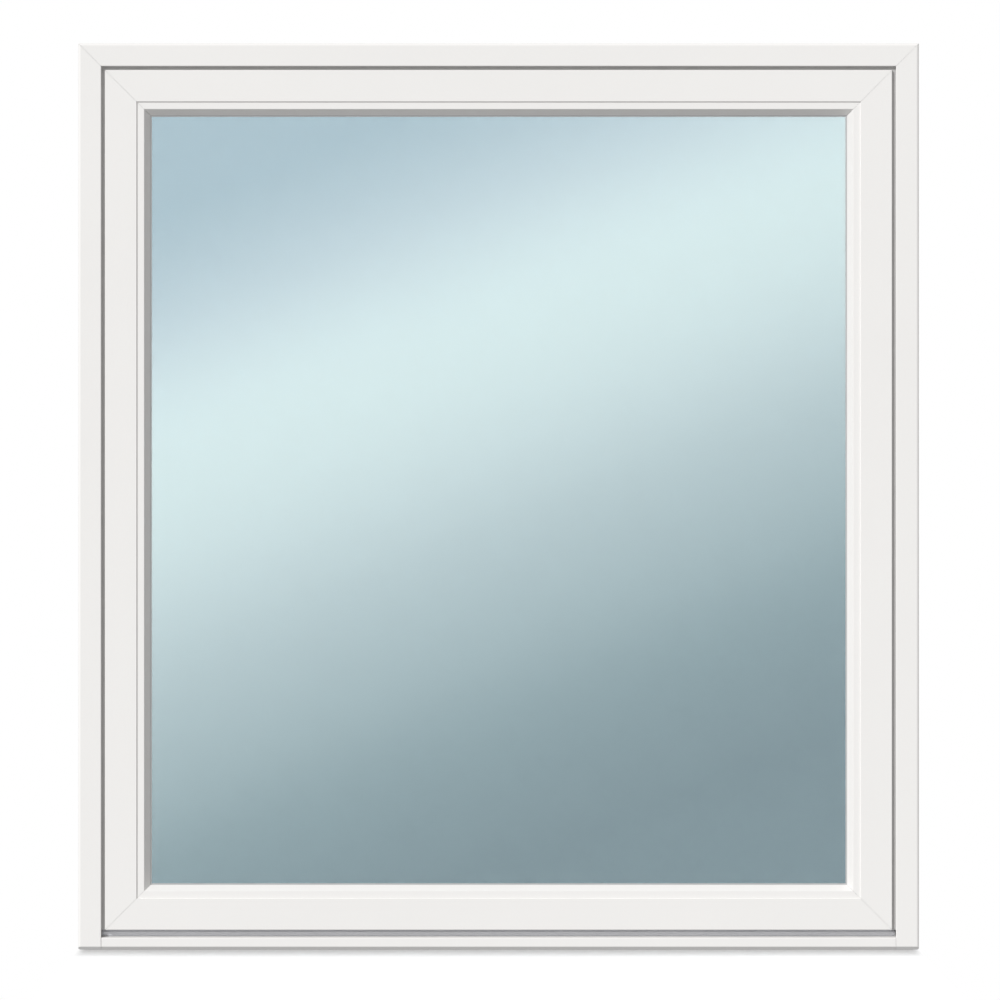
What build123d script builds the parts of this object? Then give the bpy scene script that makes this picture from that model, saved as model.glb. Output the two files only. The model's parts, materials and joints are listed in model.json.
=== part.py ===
from build123d import *
from math import cos, radians, tan
import os

# A reversible pivot window: a sash that swings out over its head, in a timber frame
# clad outside with aluminium. Millimetres. Seen from outside +X is to the right,
# +Y points into the room and +Z is up. The origin is the middle of the frame's
# underside, half way through the depth of its timber.

# Frame
frame_width = 1280.0
frame_height = 1380.0
frame_depth = 105.0
frame_face = 35.0
frame_chamfer = 2.0
edge_chamfer = 1.2
joint_vee = 0.6
stop_lap = 14.0
lining_groove_width = 13.0
lining_groove_depth = 10.0
lining_groove_edge = 12.0

# Sill
sill_face = 18.2
sill_slope = 6.0
sill_plate_depth = 76.0
sill_joint = 0.3

# Gaps between frame and sash
side_gap = 6.0
sill_gap = 11.9
seal_gap = 4.0
sash_setback = 2.0

# Aluminium covers
cover_wall = 2.0
cover_projection = 13.5
cover_leg = 26.0
frame_arris = 4.0
sill_arris = 1.5
sash_arris = 1.2
step_bend_radius = 0.4
bevel_bend_radius = 1.2
mitre_joint = 0.3
rib_place = 38.0

# Chamfered nose along the bottom, and the feet of the jamb covers
nose_rise = 4.8
nose_run = 8.5
foot_height = 5.3
foot_round = 3.0
plug_height = 20.0
plug_clearance = 0.5

# Sash face, from the gap to the glass
flat_width = 47.7
step_width = 0.3
step_depth = 2.5
bead_width = 11.2
bevel_width = 8.8

# Drip bar under the sash
drip_setback = 15.0
drip_clearance = 0.5
drip_end_clearance = 1.0
drip_groove_height = 3.2
drip_groove_depth = 2.5

# Sash timber
sash_air_gap = 18.0
sash_timber_depth = 62.0
glass_stop_depth = 18.5
inner_sight_set = 2.0
moulding = 7.0

# Glazing unit
pane_thickness = 4.0
cavity = 14.0
glass_bite = 15.0
edge_clearance = 4.0
spacer_height = 12.5
block_length = 100.0
block_inset = 110.0

# Gaskets and seals
inner_gasket_thickness = 3.0
outer_gasket_lip = 1.0
outer_gasket_height = 5.0
outer_gasket_show = 2.4
outer_gasket_tip = 0.3
gasket_tuck = 1.0
gasket_edge = 2.0
outer_seal_setback = 8.0
outer_seal_depth = 8.0
inner_seal_edge = 4.0
inner_seal_width = 7.0

# Fixing holes through the jambs
hole_radius = 7.0
outer_hole_spacing = 1000.0
inner_hole_spacing = 340.0

# Pivot fittings in the side gaps
track_wall = 2.0
track_width = 16.0
track_place = 22.0
track_end_gap = 25.0
arm_thickness = 4.0
arm_width = 18.0
arm_place = 50.0
arm_clearance = 1.0
boss_radius = 11.0
shoe_height = 40.0

# Handle on the bottom rail
rose_length = 72.0
rose_height = 28.0
rose_thickness = 9.0
rose_edge = 1.5
collar_radius = 11.0
collar_height = 2.0
collar_edge = 0.8
neck_foot_radius = 9.5
neck_radius = 7.0
finger_room = 30.0
lever_length = 130.0
lever_height = 20.0
lever_tip_height = 15.0
lever_thickness = 12.0
lever_edge = 4.0
lever_back_edge = 2.0
screw_spacing = 48.0
screw_head_radius = 3.8
screw_head_height = 1.6
screw_cross_length = 4.6
screw_cross_width = 1.0
screw_cross_depth = 1.0
screw_radius = 2.0
screw_length = 30.0

# Planes through the depth
timber_front = -frame_depth / 2
timber_back = frame_depth / 2
cover_front = timber_front - cover_projection
leg_end = cover_front + cover_leg
sash_cover_front = cover_front + sash_setback
sash_front = cover_front + sash_air_gap
sash_back = sash_front + sash_timber_depth
stop_front = sash_back + seal_gap
glass_rebate = sash_back - glass_stop_depth
unit_depth = 3 * pane_thickness + 2 * cavity
glass_back = glass_rebate - inner_gasket_thickness
glass_front = glass_back - unit_depth
lip_plane = glass_front - outer_gasket_lip
bead_plane = sash_cover_front + step_depth

# Distances inwards from the frame's outer edge
rebate_edge = frame_face - cover_wall
sash_edge = frame_face + side_gap
stop_edge = sash_edge + cover_wall + stop_lap

# Distances inwards from the sash's outer edge
bead_start = flat_width + step_width
bevel_start = bead_start + bead_width
sight_line = bevel_start + bevel_width
inner_sight = sight_line - inner_sight_set
glass_edge = sight_line - glass_bite
rebate_floor = glass_edge - edge_clearance

# The sash in the opening
sash_low = sill_face + sill_gap
sash_high = frame_height - sash_edge
sash_width = frame_width - 2 * sash_edge
sash_middle = (sash_low + sash_high) / 2
sill_stop_top = sash_low + cover_wall + stop_lap
handle_height = (sill_stop_top + sash_low + inner_sight - moulding) / 2

# A round solid that stands on its base
on_base = (Align.CENTER, Align.CENTER, Align.MIN)


def face_of(points):
    """The face inside a closed outline."""
    return make_face(Polyline(*points, close=True))


def rounded(face, corner, radius):
    """The face with its corner nearest to the given point rounded."""
    return fillet(face.vertices().sort_by_distance(corner)[0], radius)


def sheet_section(line, wall):
    """The section of a sheet bent along a line, with its wall on the left of the line."""
    points = [Vector(*p) for p in line]
    ways = [(b - a).normalized() for a, b in zip(points, points[1:])]
    normals = [Vector(-way.Y, way.X) for way in ways]
    set_in = []
    for point, a, b in zip(points, normals[:1] + normals, normals + normals[-1:]):
        set_in.append(point + (a + b) * (wall / (1 + a.dot(b))))
    return face_of(points + set_in[::-1])


def upright(section, width, low, high):
    """A bar on the left side of a frame, whose section runs inwards from its edge."""
    return Pos(-width / 2, 0, low) * extrude(section, high - low)


def low_bar(section, width, low):
    """A bar along the bottom of a frame."""
    return Pos(width / 2, 0, low) * Rot(0, -90, 0) * extrude(section, width)


def high_bar(section, width, high):
    """A bar along the top of a frame."""
    return Pos(-width / 2, 0, high) * Rot(0, 90, 0) * extrude(section, width)


def mirrored(solid):
    """The same piece on the right-hand side."""
    return mirror(solid, about=Plane.YZ)


def prism(outline):
    """A block through the whole depth, with an outline seen from outside."""
    return extrude(Plane.XZ * face_of(outline), frame_depth, both=True)


def one_solid(shape):
    """The single solid that a shape holds."""
    solids = shape.solids()
    assert len(solids) == 1, f"{len(solids)} solids where one was expected"
    return solids[0]


def four_sides(section, width, low, high, reach, joint=0.0):
    """Four bars of one section, mitred at the corners with a joint between them."""
    side, inner = width / 2, width / 2 - reach
    left_cut = [
        (-side, low + joint),
        (-side, high - joint),
        (-inner, high - reach - joint),
        (-inner, low + reach + joint),
    ]
    low_cut = [(-side, low), (side, low), (inner, low + reach), (-inner, low + reach)]
    high_cut = [
        (-side, high),
        (side, high),
        (inner, high - reach),
        (-inner, high - reach),
    ]
    left = upright(section, width, low, high) & prism(left_cut)
    return {
        "left": one_solid(left),
        "right": one_solid(mirrored(left)),
        "bottom": one_solid(low_bar(section, width, low) & prism(low_cut)),
        "top": one_solid(high_bar(section, width, high) & prism(high_cut)),
    }


def ring(section, width, low, high, reach):
    """Four mitred bars joined into one closed ring."""
    bars = list(four_sides(section, width, low, high, reach).values())
    return one_solid(bars[0].fuse(*bars[1:]).clean())


def rectangle(start, end, front, back):
    """A rectangle in a section, from start to end inwards and front to back."""
    return face_of([(start, front), (end, front), (end, back), (start, back)])


def depth_box(x, y, z):
    """A box between pairs of limits along each axis."""
    size = (x[1] - x[0], y[1] - y[0], z[1] - z[0])
    middle = ((x[0] + x[1]) / 2, (y[0] + y[1]) / 2, (z[0] + z[1]) / 2)
    return Pos(*middle) * Box(*size)


def stop_part():
    """The thick part of the frame's section that the sash closes against."""
    return rectangle(0, stop_edge, stop_front, timber_back)


def frame_section():
    """The timber section of the jambs and the head."""
    body = rectangle(0, rebate_edge, timber_front, stop_front) + stop_part()
    leg_seat = rectangle(0, cover_wall, timber_front, leg_end)
    return body - leg_seat


def jamb_envelope():
    """The room that a jamb and its cover take from the sill and the head."""
    front = rectangle(0, frame_face, timber_front, leg_end)
    return front + rectangle(0, rebate_edge, leg_end, stop_front) + stop_part()


def sill_top(y):
    """Height of the sill cover's upper face at a depth."""
    return sill_face + (y - cover_front) * tan(radians(sill_slope))


def sill_cover_section():
    """The sill cover: sloping plate, front face, nose and lower lip, as depth and height."""
    plate_back = cover_front + sill_plate_depth
    line = [
        (plate_back, sill_top(plate_back)),
        (cover_front, sill_face),
        (cover_front, nose_rise),
        (cover_front + nose_run, 0),
        (timber_front, 0),
    ]
    section = sheet_section(line, cover_wall)
    return rounded(section, (cover_front, sill_face), sill_arris)


def sill_section():
    """The sill's timber, as depth and height, under the slope of its cover."""
    drop = cover_wall / cos(radians(sill_slope))
    return face_of(
        [
            (timber_front, 0),
            (timber_back, 0),
            (timber_back, sill_stop_top),
            (stop_front, sill_stop_top),
            (stop_front, sill_top(stop_front) - drop),
            (timber_front, sill_top(timber_front) - drop),
        ]
    )


def along_x(section, length):
    """A bar whose section is given as depth and height, centred on the window."""
    return extrude(Plane.YZ * section, length / 2, both=True)


def vee(place, front):
    """The section of the fine groove along a joint between two timbers."""
    return face_of(
        [(place - joint_vee, front), (place + joint_vee, front), (place, front - joint_vee)]
    )


def frame_face_cuts():
    """What is cut round the whole room face: two chamfers and the lining boards' groove."""
    opening = [
        (stop_edge - frame_chamfer, timber_back),
        (stop_edge, timber_back - frame_chamfer),
        (stop_edge, timber_back),
    ]
    edge = [(0, timber_back), (edge_chamfer, timber_back), (0, timber_back - edge_chamfer)]
    groove_end = lining_groove_edge + lining_groove_width
    groove_floor = timber_back - lining_groove_depth
    groove = rectangle(lining_groove_edge, groove_end, groove_floor, timber_back)
    opening_low = sill_stop_top - stop_edge
    return [
        ring(face_of(opening), frame_width, opening_low, frame_height, stop_edge),
        ring(face_of(edge), frame_width, 0, frame_height, stop_edge),
        ring(groove, frame_width, 0, frame_height, stop_edge),
    ]


def frame_joint_cuts():
    """The fine grooves along the joints of the jambs with the sill and the head."""
    groove = vee(stop_edge, timber_back)
    left = [
        upright(groove, frame_width, 0, sill_stop_top),
        upright(groove, frame_width, frame_height - stop_edge, frame_height),
    ]
    return left + [mirrored(cut) for cut in left]


def jamb_holes():
    """The fixing holes through the left jamb."""
    place = (stop_front + timber_back) / 2
    holes = []
    for spacing in (outer_hole_spacing, inner_hole_spacing):
        for way in (-1, 1):
            height = (frame_height + way * spacing) / 2
            start = Pos(-frame_width / 2 + stop_edge / 2, place, height)
            holes.append(start * Rot(0, 90, 0) * Cylinder(hole_radius, 2 * stop_edge))
    return holes


def frame_timber():
    """The jambs, the head and the sill."""
    cuts = frame_face_cuts() + frame_joint_cuts()
    head_leg_seat = depth_box(
        (-frame_width, frame_width),
        (timber_front, leg_end),
        (frame_height - cover_wall, frame_height),
    )
    jamb = upright(frame_section(), frame_width, 0, frame_height)
    jamb = jamb - head_leg_seat - jamb_holes() - cuts
    envelope = upright(jamb_envelope(), frame_width, 0, frame_height)
    both = [envelope, mirrored(envelope)]
    head = high_bar(frame_section(), frame_width, frame_height) - both - cuts
    sill = along_x(sill_section(), frame_width) - both - cuts
    return {
        "frame_jamb_left": one_solid(jamb),
        "frame_jamb_right": one_solid(mirrored(jamb)),
        "frame_head": one_solid(head),
        "frame_sill": one_solid(sill),
    }


def frame_cover_section():
    """The aluminium cover of a jamb or the head."""
    line = [
        (0, leg_end),
        (0, cover_front),
        (frame_face, cover_front),
        (frame_face, leg_end),
    ]
    section = sheet_section(line, cover_wall)
    section = rounded(section, (0, cover_front), frame_arris)
    inside = (cover_wall, cover_front + cover_wall)
    section = rounded(section, inside, frame_arris - cover_wall)
    return rounded(section, (frame_face, cover_front), sash_arris)


def frame_covers():
    """The jamb covers, the head cover and the sill cover between them."""
    section = frame_cover_section()
    low = -frame_face
    bars = four_sides(section, frame_width, low, frame_height, frame_face, mitre_joint)
    foot = depth_box(
        (-frame_width, frame_width),
        (cover_front - cover_leg, timber_back),
        (low, foot_height),
    )
    left = bars["left"] - foot
    sill_length = frame_width - 2 * (frame_face + sill_joint)
    return {
        "frame_cover_left": one_solid(left),
        "frame_cover_right": one_solid(mirrored(left)),
        "frame_cover_head": bars["top"],
        "sill_cover": one_solid(along_x(sill_cover_section(), sill_length)),
    }


def cover_end_caps():
    """The caps that close the jamb covers at the foot, with the sill's chamfered nose."""
    base = rectangle(0, frame_face, cover_front, timber_front)
    base = rounded(base, (0, cover_front), frame_arris)
    block = upright(base, frame_width, 0, foot_height)
    nose = face_of([(cover_front, 0), (cover_front + nose_run, 0), (cover_front, nose_rise)])
    side = -frame_width / 2
    foot = rounded(rectangle(side, side + frame_face, 0, foot_height), (side, 0), foot_round)
    block = block & extrude(Plane.XZ * foot, frame_depth, both=True)
    block = block - along_x(nose, 2 * frame_width)
    set_in = cover_wall + plug_clearance
    plug = rectangle(
        set_in, frame_face - set_in, cover_front + frame_arris, timber_front
    )
    top = foot_height + plug_height
    left = one_solid(block + upright(plug, frame_width, foot_height, top))
    return {
        "cover_end_cap_left": left,
        "cover_end_cap_right": one_solid(mirrored(left)),
    }


def sash_timber():
    """The stiles and rails of the sash, with the glass rebate and the room moulding."""
    width = sash_width
    square = rectangle(cover_wall, rebate_floor, sash_front, glass_rebate)
    square += rectangle(cover_wall, inner_sight, glass_rebate, sash_back)
    corner = [
        (inner_sight - moulding, sash_back),
        (inner_sight, sash_back - moulding),
        (inner_sight, sash_back),
    ]
    cuts = [ring(face_of(corner), width, sash_low, sash_high, inner_sight)]
    groove = vee(inner_sight, sash_back)
    for start in (sash_low, sash_high - inner_sight):
        joint = upright(groove, width, start, start + inner_sight)
        cuts += [joint, mirrored(joint)]
    bottom, top = sash_low + cover_wall, sash_high - cover_wall
    stile = upright(square, width, bottom, top)
    both = [stile, mirrored(stile)]
    high = high_bar(square, width, sash_high) - both - cuts
    low = low_bar(square, width, sash_low) - both - cuts - screw_shanks()
    stile = stile - cuts
    return {
        "sash_stile_left": one_solid(stile),
        "sash_stile_right": one_solid(mirrored(stile)),
        "sash_rail_top": middle_solid(high),
        "sash_rail_bottom": middle_solid(low),
    }


def middle_solid(shape):
    """The largest solid of a shape, without the ends that stick out past the stiles."""
    return shape.solids().sort_by(lambda solid: solid.volume)[-1]


def bevel_inside(y):
    """Place of the bevel's inner face at a depth, inwards from the sash's edge."""
    way = Vector(bevel_width, lip_plane - bead_plane).normalized()
    start = Vector(bevel_start, bead_plane) + Vector(-way.Y, way.X) * cover_wall
    return start.X + (y - start.Y) * way.X / way.Y


def sash_cover_section():
    """The aluminium cover of the sash: flat, step, bead and bevel, with a rib behind."""
    slope = bevel_width / (lip_plane - bead_plane)
    line = [
        (0, leg_end),
        (0, sash_cover_front),
        (flat_width, sash_cover_front),
        (bead_start, bead_plane),
        (bevel_start, bead_plane),
        (sight_line + cover_wall * slope, lip_plane + cover_wall),
    ]
    section = sheet_section(line, cover_wall)
    past_lip = rectangle(
        rebate_floor, 2 * sight_line, lip_plane, lip_plane + 2 * cover_leg
    )
    section = rounded(section, (0, sash_cover_front), sash_arris)
    section = rounded(section, (flat_width, sash_cover_front), step_bend_radius)
    section = rounded(section, (bead_start, bead_plane), step_bend_radius)
    section = rounded(section, (bevel_start, bead_plane), bevel_bend_radius)
    rib_start = sash_cover_front + cover_wall
    rib = rectangle(rib_place, rib_place + cover_wall, rib_start, sash_front)
    return section - past_lip + rib


def sash_covers():
    """The four mitred covers of the sash."""
    bars = four_sides(
        sash_cover_section(), sash_width, sash_low, sash_high, sight_line, mitre_joint
    )
    return {f"sash_cover_{side}": bar for side, bar in bars.items()}


def drip_bar():
    """The bar under the sash's cover: a shadow groove, then a foot clear of the sill."""
    front = sash_cover_front + drip_setback
    set_back = front + drip_groove_depth
    groove_foot = sash_low - drip_groove_height
    foot = sill_top(front + cover_wall) + drip_clearance
    line = [
        (leg_end, sash_low),
        (set_back, sash_low),
        (set_back, groove_foot),
        (front, groove_foot),
        (front, foot),
    ]
    length = frame_width - 2 * (frame_face + drip_end_clearance)
    return one_solid(along_x(sheet_section(line, cover_wall), length))


def glazing_unit():
    """Three panes, the spacers between them and the blocks that carry them."""
    half = sash_width / 2 - glass_edge
    low, high = sash_low + glass_edge, sash_high - glass_edge
    parts = {}
    front = glass_front
    for name in ("outer", "middle", "inner"):
        back = front + pane_thickness
        parts[f"glass_pane_{name}"] = depth_box((-half, half), (front, back), (low, high))
        front = back + cavity
    front = glass_front + pane_thickness
    for name in ("outer", "inner"):
        section = rectangle(0, spacer_height, front, front + cavity)
        parts[f"spacer_{name}"] = ring(section, 2 * half, low, high, spacer_height)
        front += cavity + pane_thickness
    block_middle = half - block_inset - block_length / 2
    block = Box(block_length, unit_depth, edge_clearance)
    depth = (glass_front + glass_back) / 2
    places = [Pos(way * block_middle, depth, low - edge_clearance / 2) for way in (-1, 1)]
    parts["setting_blocks"] = Compound([place * block for place in places])
    return parts


def outer_seal():
    """The seal in the gap beside and over the sash, down to the drip bar's ends."""
    front = cover_front + outer_seal_setback
    back = front + outer_seal_depth
    section = rectangle(frame_face, sash_edge, front, back)
    side = upright(section, frame_width, sash_low, frame_height - frame_face)
    head = depth_box(
        (-frame_width / 2 + frame_face, frame_width / 2 - frame_face),
        (front, back),
        (sash_high, frame_height - frame_face),
    )
    return one_solid(side.fuse(mirrored(side), head).clean())


def gaskets():
    """The gaskets on both sides of the glass and the seals between frame and sash."""
    sash = (sash_width, sash_low, sash_high)
    start = glass_edge + gasket_edge
    top = glass_front - outer_gasket_height
    end = sight_line + outer_gasket_show
    outer = face_of(
        [
            (start, glass_front),
            (end, glass_front),
            (end, glass_front - outer_gasket_tip),
            (sight_line, lip_plane),
            (bevel_inside(lip_plane), lip_plane),
            (bevel_inside(top), top),
            (start, top),
        ]
    )
    inner = rectangle(start, inner_sight - gasket_tuck, glass_back, glass_rebate)
    seal_start = cover_wall + inner_seal_edge
    inner_seal = rectangle(
        seal_start, seal_start + inner_seal_width, sash_back, stop_front
    )
    return {
        "glazing_gasket_outer": ring(outer, *sash, end),
        "glazing_gasket_inner": ring(inner, *sash, sight_line),
        "weather_seal_inner": ring(inner_seal, *sash, sight_line),
        "weather_seal_outer": outer_seal(),
    }


def boss(x_start, x_end, y, z):
    """A round boss across the side gap."""
    length = x_end - x_start
    return Pos((x_start + x_end) / 2, y, z) * Rot(0, 90, 0) * Cylinder(boss_radius, length)


def pivot_fittings():
    """The tracks on the jambs, the arms that carry the sash and its sliding shoes."""
    jamb_face = -frame_width / 2 + rebate_edge
    sash_face = -sash_width / 2 + cover_wall
    track_end = jamb_face + track_wall
    track_y = (leg_end + track_place - track_width, leg_end + track_place)
    low, high = sash_low + track_end_gap, sash_high - cover_wall
    track = depth_box((jamb_face, track_end), track_y, (low, high))
    shoe = depth_box((track_end, sash_face), track_y, (high - shoe_height, high))
    arm_start = track_end + arm_clearance
    arm_end = arm_start + arm_thickness
    arm_length = (sash_high - sash_low) / 4
    arm_y = leg_end + arm_place - boss_radius
    outline = SlotCenterToCenter(arm_length, arm_width)
    arm = extrude(Plane.YZ * Rot(0, 0, 90) * outline, arm_thickness)
    arm = Pos(arm_start, arm_y, sash_middle + arm_length / 2) * arm
    arm += boss(jamb_face, arm_start, arm_y, sash_middle)
    arm += boss(arm_end, sash_face, arm_y, sash_middle + arm_length)
    parts = {}
    for name, piece in (("track", track), ("arm", arm), ("shoe", shoe)):
        parts[f"pivot_{name}_left"] = one_solid(piece)
        parts[f"pivot_{name}_right"] = one_solid(mirrored(piece))
    return parts


def screw_places():
    """Where the two handle screws stand, on the rose's front."""
    front = sash_back + rose_thickness
    return [Pos(way * screw_spacing / 2, front, handle_height) for way in (-1, 1)]


def into_rail(radius, length):
    """A round pin that runs from its place through the rose into the rail."""
    return Rot(90, 0, 0) * Cylinder(radius, length, align=on_base)


def screw_shanks():
    """The shanks of the handle screws."""
    return [place * into_rail(screw_radius, screw_length) for place in screw_places()]


def screw_cross():
    """The cross-shaped recess in the head of a screw, centred on the head's front."""
    level = Box(screw_cross_length, 2 * screw_cross_depth, screw_cross_width)
    return level + Rot(0, 90, 0) * level


def handle_screws():
    """The two screws that hold the rose to the rail."""
    screws = []
    for place, shank in zip(screw_places(), screw_shanks()):
        head = place * into_rail(screw_head_radius, screw_head_height)
        screws.append(one_solid(head + shank - place * screw_cross()))
    return Compound(screws)


def handle_lever():
    """The lever: a bar that tapers to its tip, on a conical neck, flat on the rose."""
    reach = lever_length - (lever_height + lever_tip_height) / 2
    ends = Circle(lever_height / 2).edges() + (Pos(reach, 0) * Circle(lever_tip_height / 2)).edges()
    bar = Pos(0, 0, rose_thickness + finger_room) * extrude(make_hull(ends), lever_thickness)
    bar = fillet(bar.faces().sort_by(Axis.Z)[-1].edges(), lever_edge)
    bar = fillet(bar.faces().sort_by(Axis.Z)[0].edges(), lever_back_edge)
    neck = Cone(neck_foot_radius, neck_radius, finger_room - collar_height, align=on_base)
    return one_solid(bar + Pos(0, 0, rose_thickness + collar_height) * neck)


def handle_rose():
    """The rose, with the collar that the lever turns on."""
    rose = extrude(SlotOverall(rose_length, rose_height), rose_thickness)
    rose = fillet(rose.faces().sort_by(Axis.Z)[-1].edges(), rose_edge)
    collar = Cylinder(collar_radius, collar_height, align=on_base)
    collar = fillet(collar.edges().sort_by(Axis.Z)[-1], collar_edge)
    return rose + Pos(0, 0, rose_thickness) * collar


def handle():
    """The handle's rose, its lever and the two screws."""
    toward_room = Plane(
        origin=(0, sash_back, handle_height), x_dir=(-1, 0, 0), z_dir=(0, 1, 0)
    )
    heads = [place * into_rail(screw_head_radius, screw_head_height) for place in screw_places()]
    rose = toward_room * handle_rose() - heads - screw_shanks()
    return {
        "handle_rose": one_solid(rose),
        "handle_lever": one_solid(toward_room * handle_lever()),
        "handle_screws": handle_screws(),
    }


def main():
    """Write every piece of the window."""
    os.makedirs("parts", exist_ok=True)
    pieces = {
        **frame_timber(),
        **frame_covers(),
        **cover_end_caps(),
        **sash_timber(),
        **sash_covers(),
        "sash_drip_bar": drip_bar(),
        **glazing_unit(),
        **gaskets(),
        **pivot_fittings(),
        **handle(),
    }
    for name, piece in pieces.items():
        export_step(piece, f"parts/{name}.step")


main()
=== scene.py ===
"""Finishes, studio light and camera for the pivot window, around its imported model."""

import json
from math import cos, pi, radians, sin

import bpy
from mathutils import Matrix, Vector


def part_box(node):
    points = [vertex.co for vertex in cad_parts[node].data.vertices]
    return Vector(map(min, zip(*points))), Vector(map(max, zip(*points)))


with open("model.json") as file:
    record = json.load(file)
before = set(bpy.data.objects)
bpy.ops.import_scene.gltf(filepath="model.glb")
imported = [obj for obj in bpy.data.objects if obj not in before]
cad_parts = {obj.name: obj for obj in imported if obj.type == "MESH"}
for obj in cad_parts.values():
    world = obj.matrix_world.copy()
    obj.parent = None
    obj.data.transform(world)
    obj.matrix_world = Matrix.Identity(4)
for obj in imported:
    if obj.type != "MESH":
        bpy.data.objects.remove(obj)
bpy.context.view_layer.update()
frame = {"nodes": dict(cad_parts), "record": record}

MM = 0.001

# Camera: level and square on, from far away. The view's middle and width are those of
# the photo, on the plane of the covers' front. Distances are in metres.
VIEW_MIDDLE_X = 2.1 * MM
VIEW_MIDDLE_Z = 684.6 * MM
VIEW_WIDTH = 1522 * MM
CAMERA_DISTANCE = 15.0
CAMERA_REACH = 400.0
SENSOR = 36.0

# Colours as linear red, green and blue
WHITE = (1.0, 1.0, 1.0)
WHITE_COVER = (0.843, 0.831, 0.815)
WHITE_TIMBER = (0.83, 0.825, 0.80)
WHITE_PLASTIC = (0.82, 0.815, 0.80)
BAR_GREY = (0.76, 0.77, 0.81)
SEAL_GREY = (0.47, 0.465, 0.46)
GASKET_GREY = (0.45, 0.45, 0.455)
SPACER_GREY = (0.07, 0.075, 0.08)
BLOCK_GREY = (0.22, 0.24, 0.27)
STEEL = (0.60, 0.60, 0.61)
HANDLE_STEEL = (0.58, 0.58, 0.585)
OUTER_GLASS_TINT = (0.42, 0.52, 0.56)
CLEAR_GLASS_TINT = (0.93, 0.975, 0.955)

# Roughness in the middle of each finish's range
BLOCK_ROUGHNESS = 0.50
CAP_ROUGHNESS = 0.42
FITTING_ROUGHNESS = 0.36
HANDLE_ROUGHNESS = 0.30

# The sum of two noises runs mostly between these.
TWO_NOISES = (0.6, 1.4)

# Light: directions towards each lamp, and spreads in degrees. At a level of 1 in all, a
# face shows its colour as it is written.
KEY_DIRECTION = (-0.40, -0.55, 0.40)
KEY_LEVEL = 0.80
KEY_SPREAD = 12.0
BACK_DIRECTION = (0.60, 0.72, 0.24)
BACK_LEVEL = 0.62
BACK_SPREAD = 20.0
SKY_LEVEL = 0.47
WHITE_LEVEL = 1.0

# The overhead row: narrow lamps from straight above to this many degrees behind, which
# light the floor alone and share one level.
TOP_REACH = 10.3
TOP_LAMPS = 16
TOP_LEVEL = 0.70

# Floor. The shadow on it fades out between the last two distances from the window's
# middle, at both ends.
FLOOR_REACH = 120.0
FLOOR_SHOWN = (0.90, 0.90, 0.90)
SHADOW_FULL = 629 * MM
SHADOW_ENDS = 640 * MM

# The soft gradient that the glass mirrors, on a card in front of the covers. It runs
# down and to the right. Its stops are distances in metres along that way from the
# middle of the view, each with the tone that the glass then shows.
CARD_DISTANCE = 1.6
CARD_WIDTH = 1.9
CARD_HEIGHT = 2.0
CARD_TILT = 22.15
CARD_LEVEL = 3.0
GLASS_TONES = (
    (-0.60, (0.42, 0.55, 0.62)),
    (-0.43, (0.56, 0.69, 0.74)),
    (-0.26, (0.67, 0.82, 0.83)),
    (0.00, (0.52, 0.64, 0.67)),
    (0.26, (0.33, 0.43, 0.47)),
    (0.52, (0.23, 0.30, 0.35)),
)

# What the glass shows with nothing mirrored in it, and how much of the card it mirrors
THROUGH_TONE = (0.225, 0.305, 0.330)
MIRRORED_SHARE = (0.204, 0.225, 0.224)

# A Mix node's sockets for a colour: its share, its two colours and its result
MIX_SHARE, MIX_FIRST, MIX_SECOND = 0, 6, 7
MIX_RESULT = 2


def scaled(colour, factor):
    """A colour made lighter or darker."""
    return tuple(min(1.0, part * factor) for part in colour)


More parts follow.
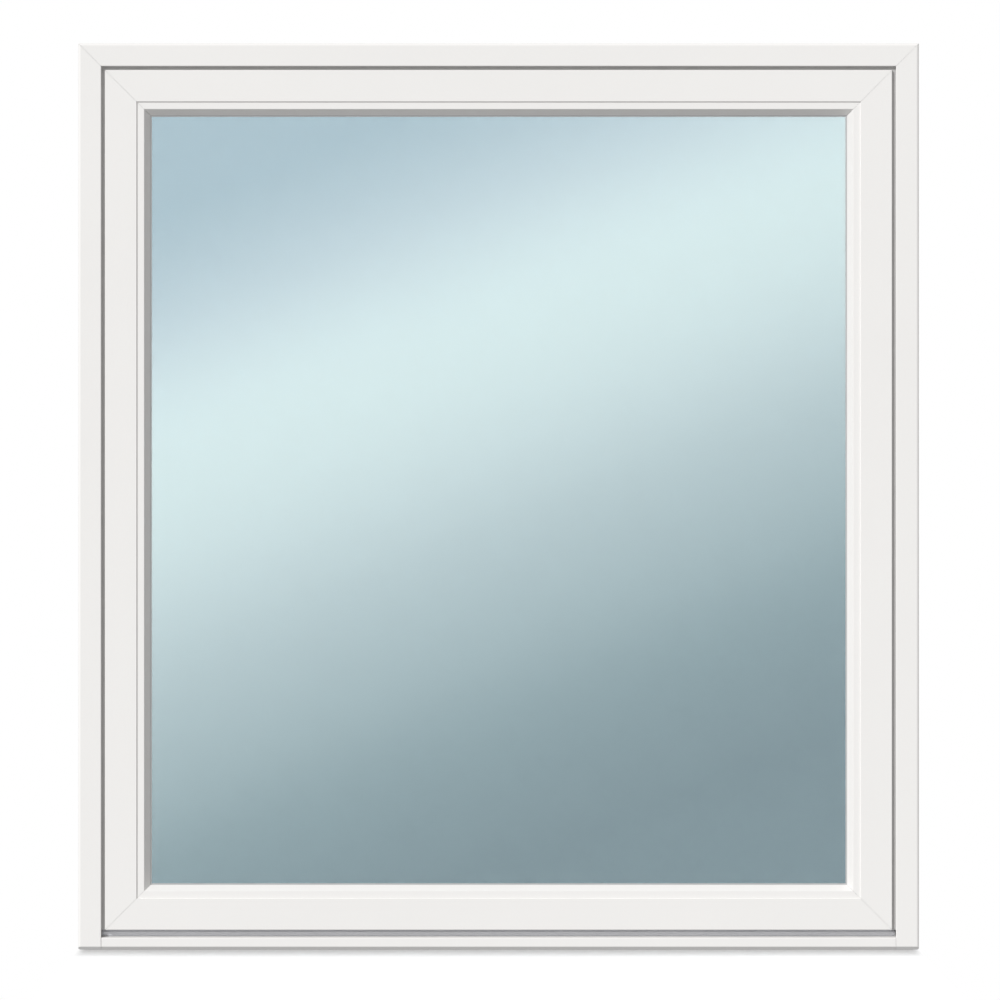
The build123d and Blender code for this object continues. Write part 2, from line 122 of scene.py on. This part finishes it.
class Tree:
    """A node tree, with one short call for each node."""

    def __init__(self, owner):
        owner.use_nodes = True
        self.nodes = owner.node_tree.nodes
        self.links = owner.node_tree.links
        self.nodes.clear()

    def put(self, socket, value):
        """Links a socket to another node's output, or sets its colour or number."""
        if isinstance(value, bpy.types.NodeSocket):
            self.links.new(value, socket)
        elif socket.type == "RGBA":
            socket.default_value = (*value, 1.0)
        else:
            socket.default_value = value

    def add(self, kind, inputs=None, out=0, **settings):
        """A new node with its settings and inputs, as its output of that name or place."""
        node = self.nodes.new(kind)
        for name, value in settings.items():
            setattr(node, name, value)
        for name, value in (inputs or {}).items():
            self.put(node.inputs[name], value)
        return node.outputs[out] if node.outputs else None

    def math(self, operation, *values):
        """A Math node of that operation."""
        return self.add("ShaderNodeMath", dict(enumerate(values)), operation=operation)

    def object_point(self, stretch=(1, 1, 1)):
        """The surface point in metres, stretched along each axis."""
        point = self.add("ShaderNodeTexCoord", out="Object")
        return self.add("ShaderNodeMapping", {"Vector": point, "Scale": stretch})

    def axes(self, point):
        """A point's X, Y and Z as three values."""
        split = self.nodes.new("ShaderNodeSeparateXYZ")
        self.put(split.inputs[0], point)
        return split.outputs

    def ray(self, fact):
        """A fact about the ray that reaches the surface."""
        return self.add("ShaderNodeLightPath", out=fact)

    def noise(self, scale, detail, rough, stretch=(1, 1, 1)):
        """Smooth noise from 0 to 1, on the surface point."""
        point = self.object_point(stretch)
        inputs = {"Vector": point, "Scale": scale, "Detail": detail, "Roughness": rough}
        return self.add("ShaderNodeTexNoise", inputs, out="Fac")

    def between(self, value, low, high, start=0.0, end=1.0):
        """The value's run from start to end, brought to run from low to high."""
        inputs = {
            "Value": value,
            "From Min": start,
            "From Max": end,
            "To Min": low,
            "To Max": high,
        }
        return self.add("ShaderNodeMapRange", inputs)

    def uneven(self, first, second, low, high):
        """A value from low to high that follows the sum of two noises."""
        return self.between(self.math("ADD", first, second), low, high, *TWO_NOISES)

    def shades(self, share, colour, low, high):
        """A colour that runs from low to high times itself."""
        mix = self.nodes.new("ShaderNodeMix")
        mix.data_type = "RGBA"
        self.put(mix.inputs[MIX_SHARE], share)
        self.put(mix.inputs[MIX_FIRST], scaled(colour, low))
        self.put(mix.inputs[MIX_SECOND], scaled(colour, high))
        return mix.outputs[MIX_RESULT]

    def ramp(self, share, stops):
        """A smooth gradient through colours, each at its place from 0 to 1."""
        node = self.nodes.new("ShaderNodeValToRGB")
        self.put(node.inputs[0], share)
        node.color_ramp.interpolation = "CARDINAL"
        elements = node.color_ramp.elements
        places, colours = zip(*stops)
        for place in places[1:-1]:
            elements.new(place)
        for element, colour in zip(elements, colours):
            element.color = (*colour, 1.0)
        return node.outputs[0]

    def bump(self, height, distance, strength):
        """A bumped normal, with the height's depth in metres."""
        inputs = {"Height": height, "Distance": distance, "Strength": strength}
        return self.add("ShaderNodeBump", inputs)

    def show(self, shader, kind="ShaderNodeOutputMaterial"):
        """The shader as the tree's surface."""
        self.add(kind, {"Surface": shader})

    def finish(self, inputs):
        """A principled surface."""
        self.show(self.add("ShaderNodeBsdfPrincipled", inputs, out="BSDF"))


def new_material(name):
    """An empty material and its tree."""
    material = bpy.data.materials.new(name)
    return material, Tree(material)


def along_axis(axis, along, across):
    """A stretch with one value along the named axis and another across it."""
    return tuple(along if name == axis else across for name in "XYZ")


def powder_coat(name, colour):
    """Satin powder coat: fine orange peel, faint clouds of gloss, hardly any of colour."""
    material, tree = new_material(name)
    clouds = tree.noise(scale=5.0, detail=4.0, rough=0.6)
    peel = tree.noise(scale=420.0, detail=2.0, rough=0.4)
    grit = tree.noise(scale=2600.0, detail=1.0, rough=0.5)
    grit_share = 0.25
    height = tree.math("ADD", peel, tree.math("MULTIPLY", grit, grit_share))
    tree.finish(
        {
            "Base Color": tree.shades(clouds, colour, low=0.985, high=1.012),
            "Roughness": tree.uneven(clouds, grit, low=0.36, high=0.50),
            "Normal": tree.bump(height, distance=0.16 * MM, strength=0.6),
            "Specular IOR Level": 0.22,
        }
    )
    return material


def painted_timber(name, colour, axis):
    """Factory paint on timber: grain that shows through and faint lines of the brush."""
    material, tree = new_material(name)
    grain_stretch = along_axis(axis, along=5.0, across=210.0)
    pore_stretch = along_axis(axis, along=25.0, across=1050.0)
    grain = tree.noise(scale=1.0, detail=5.0, rough=0.62, stretch=grain_stretch)
    pores = tree.noise(scale=1.0, detail=2.0, rough=0.5, stretch=pore_stretch)
    clouds = tree.noise(scale=4.0, detail=3.0, rough=0.5)
    pore_share = 0.35
    height = tree.math("ADD", grain, tree.math("MULTIPLY", pores, pore_share))
    tree.finish(
        {
            "Base Color": tree.shades(grain, colour, low=0.955, high=1.02),
            "Roughness": tree.uneven(clouds, pores, low=0.58, high=0.74),
            "Normal": tree.bump(height, distance=0.6 * MM, strength=0.45),
            "Specular IOR Level": 0.16,
        }
    )
    return material


def rubber(name, colour):
    """Extruded rubber: a dusty bloom, a fine grain and a soft sheen."""
    material, tree = new_material(name)
    bloom = tree.noise(scale=35.0, detail=4.0, rough=0.6)
    fine = tree.noise(scale=1800.0, detail=2.0, rough=0.5)
    tree.finish(
        {
            "Base Color": tree.shades(bloom, colour, low=0.9, high=1.1),
            "Roughness": tree.between(bloom, low=0.58, high=0.78),
            "Normal": tree.bump(fine, distance=0.05 * MM, strength=0.4),
            "Specular IOR Level": 0.3,
        }
    )
    return material


def moulded_plastic(name, colour, rough):
    """Moulded plastic with the fine grain of its mould."""
    material, tree = new_material(name)
    fine = tree.noise(scale=1500.0, detail=3.0, rough=0.6)
    clouds = tree.noise(scale=12.0, detail=2.0, rough=0.5)
    tree.finish(
        {
            "Base Color": tree.shades(clouds, colour, low=0.97, high=1.02),
            "Roughness": tree.uneven(fine, clouds, low=rough - 0.06, high=rough + 0.08),
            "Normal": tree.bump(fine, distance=0.05 * MM, strength=0.4),
        }
    )
    return material


def spacer_bar(name, colour):
    """Dark spacer with rows of fine holes, each painted darker as painted shade inside it.
    """
    material, tree = new_material(name)
    pitch = 3.2 * MM
    hole_start, hole_end = 0.14, 0.20
    half = 0.5
    axes = tree.axes(tree.object_point())
    squares = []
    for way in (axes["Y"], tree.math("ADD", axes["X"], axes["Z"])):
        place = tree.math("FRACT", tree.math("DIVIDE", way, pitch))
        from_middle = tree.math("SUBTRACT", place, half)
        squares.append(tree.math("MULTIPLY", from_middle, from_middle))
    distance = tree.math("SQRT", tree.math("ADD", *squares))
    hole = tree.between(distance, low=1.0, high=0.0, start=hole_start, end=hole_end)
    fine = tree.noise(scale=900.0, detail=3.0, rough=0.6)
    fine_share = 0.2
    height = tree.math("SUBTRACT", tree.math("MULTIPLY", fine, fine_share), hole)
    tree.finish(
        {
            # The holes are painted a quarter as light as the spacer: painted shade inside
            # them.
            "Base Color": tree.shades(hole, colour, low=1.0, high=0.25),
            "Roughness": tree.between(fine, low=0.42, high=0.62),
            "Normal": tree.bump(height, distance=0.2 * MM, strength=0.8),
        }
    )
    return material


def brushed_metal(name, colour, axis, rough):
    """Metal brushed along one axis, with its gloss in patches."""
    material, tree = new_material(name)
    brush_stretch = along_axis(axis, along=45.0, across=2600.0)
    lines = tree.noise(scale=1.0, detail=3.0, rough=0.6, stretch=brush_stretch)
    clouds = tree.noise(scale=40.0, detail=3.0, rough=0.5)
    tree.finish(
        {
            "Base Color": tree.shades(lines, colour, low=0.92, high=1.06),
            "Metallic": 1.0,
            "Roughness": tree.uneven(lines, clouds, low=rough - 0.07, high=rough + 0.09),
            "Anisotropic": 0.5,
            "Normal": tree.bump(lines, distance=0.03 * MM, strength=0.35),
        }
    )
    return material


def glass(name, colour, coat):
    """Float glass: slight waves, a trace of dust and, on the outer pane, a bright coat."""
    material, tree = new_material(name)
    waves = tree.noise(scale=2.5, detail=1.0, rough=0.4)
    dust = tree.noise(scale=18.0, detail=5.0, rough=0.65)
    tree.finish(
        {
            "Base Color": tree.shades(dust, colour, low=0.985, high=1.0),
            "Roughness": tree.between(dust, low=0.0, high=0.03, start=0.35, end=0.85),
            "Transmission Weight": 1.0,
            "IOR": 1.52,
            "Coat Weight": coat,
            "Coat IOR": 2.0,
            "Coat Roughness": 0.0,
            "Normal": tree.bump(waves, distance=0.02 * MM, strength=0.2),
        }
    )
    return material


def give(piece, material):
    """The material on all of a piece."""
    piece.data.materials.clear()
    piece.data.materials.append(material)


def dress():
    """Gives every piece its finish."""
    finishes = {
        "timber": painted_timber("painted_timber_upright", WHITE_TIMBER, "Z"),
        "cover": powder_coat("powder_coat_white", WHITE_COVER),
        "end_cap": moulded_plastic("cap_plastic", WHITE_PLASTIC, CAP_ROUGHNESS),
        "spacer": spacer_bar("spacer_bar", SPACER_GREY),
        "block": moulded_plastic("block_plastic", BLOCK_GREY, BLOCK_ROUGHNESS),
        "seal": rubber("seal_rubber", SEAL_GREY),
        "fitting": brushed_metal("fitting_steel", STEEL, "Z", FITTING_ROUGHNESS),
        "handle": brushed_metal("handle_steel", HANDLE_STEEL, "X", HANDLE_ROUGHNESS),
        "glass": glass("glass_clear", CLEAR_GLASS_TINT, coat=0.0),
    }
    nodes = frame["nodes"]
    for part in frame["record"]["subparts"]:
        give(nodes[part["node"]], finishes[part["material_slot"]])
    level_timber = painted_timber("painted_timber_level", WHITE_TIMBER, "X")
    for name in ("frame_head", "frame_sill", "sash_rail_top", "sash_rail_bottom"):
        give(nodes[name], level_timber)
    give(nodes["sash_drip_bar"], powder_coat("powder_coat_grey", BAR_GREY))
    give(nodes["glazing_gasket_outer"], rubber("gasket_rubber", GASKET_GREY))
    give(nodes["glass_pane_outer"], glass("glass_coated", OUTER_GLASS_TINT, coat=1.0))


def plane(name, width, height, place, turn=(0, 0, 0)):
    """A flat rectangle that belongs to the studio."""
    w, h = width / 2, height / 2
    mesh = bpy.data.meshes.new(name)
    mesh.from_pydata([(-w, -h, 0), (w, -h, 0), (w, h, 0), (-w, h, 0)], [], [(0, 1, 2, 3)])
    piece = bpy.data.objects.new(name, mesh)
    piece.location = place
    piece.rotation_euler = turn
    bpy.context.scene.collection.objects.link(piece)
    return piece


def seen_level(tree):
    """White for a ray that shows the background, in glass and metal too, or plain light."""
    metal_or_glass = tree.math(
        "MAXIMUM", tree.ray("Is Glossy Ray"), tree.ray("Is Transmission Ray")
    )
    seen = tree.math("MAXIMUM", tree.ray("Is Camera Ray"), metal_or_glass)
    return tree.between(seen, SKY_LEVEL, WHITE_LEVEL)


def make_floor():
    """A pale floor that shows white and keeps the window's shadow, with soft ends."""
    floor = plane("floor", 2 * FLOOR_REACH, 2 * FLOOR_REACH, (0, 0, 0))
    material, tree = new_material("floor_pale")
    fine = tree.noise(scale=60.0, detail=4.0, rough=0.6)
    shown = tree.shades(fine, FLOOR_SHOWN, low=0.99, high=1.0)
    lit = tree.add("ShaderNodeBsdfDiffuse", {"Color": shown})
    even = tree.add("ShaderNodeEmission", {"Color": WHITE, "Strength": seen_level(tree)})
    aside = tree.math("ABSOLUTE", tree.axes(tree.object_point())["X"])
    shaded = tree.between(aside, low=1.0, high=0.0, start=SHADOW_FULL, end=SHADOW_ENDS)
    keep = tree.math("MULTIPLY", tree.ray("Is Camera Ray"), shaded)
    tree.show(tree.add("ShaderNodeMixShader", {0: keep, 1: even, 2: lit}))
    material.cycles.emission_sampling = "NONE"
    give(floor, material)
    return floor


def make_world():
    """White wherever it is seen, and an even, plain level of light."""
    world = bpy.data.worlds.new("studio")
    bpy.context.scene.world = world
    tree = Tree(world)
    inputs = {"Color": WHITE, "Strength": seen_level(tree)}
    tree.show(tree.add("ShaderNodeBackground", inputs), "ShaderNodeOutputWorld")


def group_of(name, pieces):
    """A collection that holds these pieces, for a lamp to shine on them alone."""
    group = bpy.data.collections.new(name)
    for piece in pieces:
        group.objects.link(piece)
    return group


def sun(name, direction, level, spread, lit):
    """A soft lamp far away that lights one group."""
    lamp = bpy.data.lights.new(name, "SUN")
    lamp.energy = level * pi
    lamp.angle = radians(spread)
    piece = bpy.data.objects.new(name, lamp)
    piece.rotation_euler = Vector(direction).to_track_quat("Z", "Y").to_euler()
    piece.light_linking.receiver_collection = lit
    bpy.context.scene.collection.objects.link(piece)
    return piece


def make_lamps(floor):
    """Key from the upper left, a softer one behind, and the overhead row for the floor."""
    nodes = frame["nodes"]
    window = group_of("window_pieces", nodes.values())
    ground = group_of("ground_pieces", [floor])
    large = [piece for name, piece in nodes.items() if not name.startswith("handle")]
    shading = group_of("shading_pieces", large)
    sun("key", KEY_DIRECTION, KEY_LEVEL, KEY_SPREAD, window)
    sun("back", BACK_DIRECTION, BACK_LEVEL, BACK_SPREAD, window)
    share = TOP_REACH / TOP_LAMPS
    for place in range(TOP_LAMPS):
        tilt = radians(share * (place + 0.5))
        way = (0, sin(tilt), cos(tilt))
        lamp = sun(f"overhead_{place}", way, TOP_LEVEL / TOP_LAMPS, share, ground)
        lamp.light_linking.blocker_collection = shading


def covers_front():
    """The plane of the covers' front, along Y."""
    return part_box("frame_cover_left")[0].y


def mirror_colour(tone):
    """The card's share of its full level that shows a tone over what shows through."""
    parts = zip(tone, THROUGH_TONE, MIRRORED_SHARE)
    levels = [(seen - through) / share for seen, through, share in parts]
    return tuple(max(0.0, level / CARD_LEVEL) for level in levels)


def card_gradient(tree):
    """The card's colour, along the slanted way of its gradient."""
    axes = tree.axes(tree.add("ShaderNodeNewGeometry", out="Position"))
    right = tree.math("SUBTRACT", axes["X"], VIEW_MIDDLE_X)
    down = tree.math("SUBTRACT", VIEW_MIDDLE_Z, axes["Z"])
    tilt = radians(CARD_TILT)
    across = tree.math("MULTIPLY", right, sin(tilt))
    along = tree.math("MULTIPLY", down, cos(tilt))
    slant = tree.math("ADD", across, along)
    first, last = GLASS_TONES[0][0], GLASS_TONES[-1][0]
    spread = 1 + CARD_DISTANCE / CAMERA_DISTANCE
    share = tree.between(slant, 0.0, 1.0, start=first * spread, end=last * spread)
    length = last - first
    stops = [((way - first) / length, mirror_colour(tone)) for way, tone in GLASS_TONES]
    return tree.ramp(share, stops)


def make_card():
    """The card in front that only the glass mirrors."""
    place = (VIEW_MIDDLE_X, covers_front() - CARD_DISTANCE, VIEW_MIDDLE_Z)
    card = plane("gradient_card", CARD_WIDTH, CARD_HEIGHT, place, (radians(-90), 0, 0))
    material, tree = new_material("gradient_card")
    inputs = {"Color": card_gradient(tree), "Strength": CARD_LEVEL}
    glow = tree.add("ShaderNodeEmission", inputs)
    nothing = tree.add("ShaderNodeBsdfTransparent")
    mirrored = tree.math("GREATER_THAN", tree.ray("Glossy Depth"), 0.5)
    tree.show(tree.add("ShaderNodeMixShader", {0: mirrored, 1: nothing, 2: glow}))
    material.cycles.emission_sampling = "NONE"
    give(card, material)
    card.visible_camera = False
    card.visible_diffuse = False
    card.visible_shadow = False
    panes = [frame["nodes"][f"glass_pane_{name}"] for name in ("outer", "middle", "inner")]
    card.light_linking.receiver_collection = group_of("mirroring_panes", panes)


def make_camera():
    """A long lens, level and square on to the window's outside."""
    data = bpy.data.cameras.new("camera")
    data.sensor_width = SENSOR
    data.lens = SENSOR * CAMERA_DISTANCE / VIEW_WIDTH
    data.clip_end = CAMERA_REACH
    camera = bpy.data.objects.new("camera", data)
    camera.location = (VIEW_MIDDLE_X, covers_front() - CAMERA_DISTANCE, VIEW_MIDDLE_Z)
    camera.rotation_euler = (radians(90), 0, 0)
    bpy.context.scene.collection.objects.link(camera)
    bpy.context.scene.camera = camera


dress()
make_world()
make_lamps(make_floor())
make_card()
make_camera()
bpy.context.scene.view_settings.view_transform = "Standard"
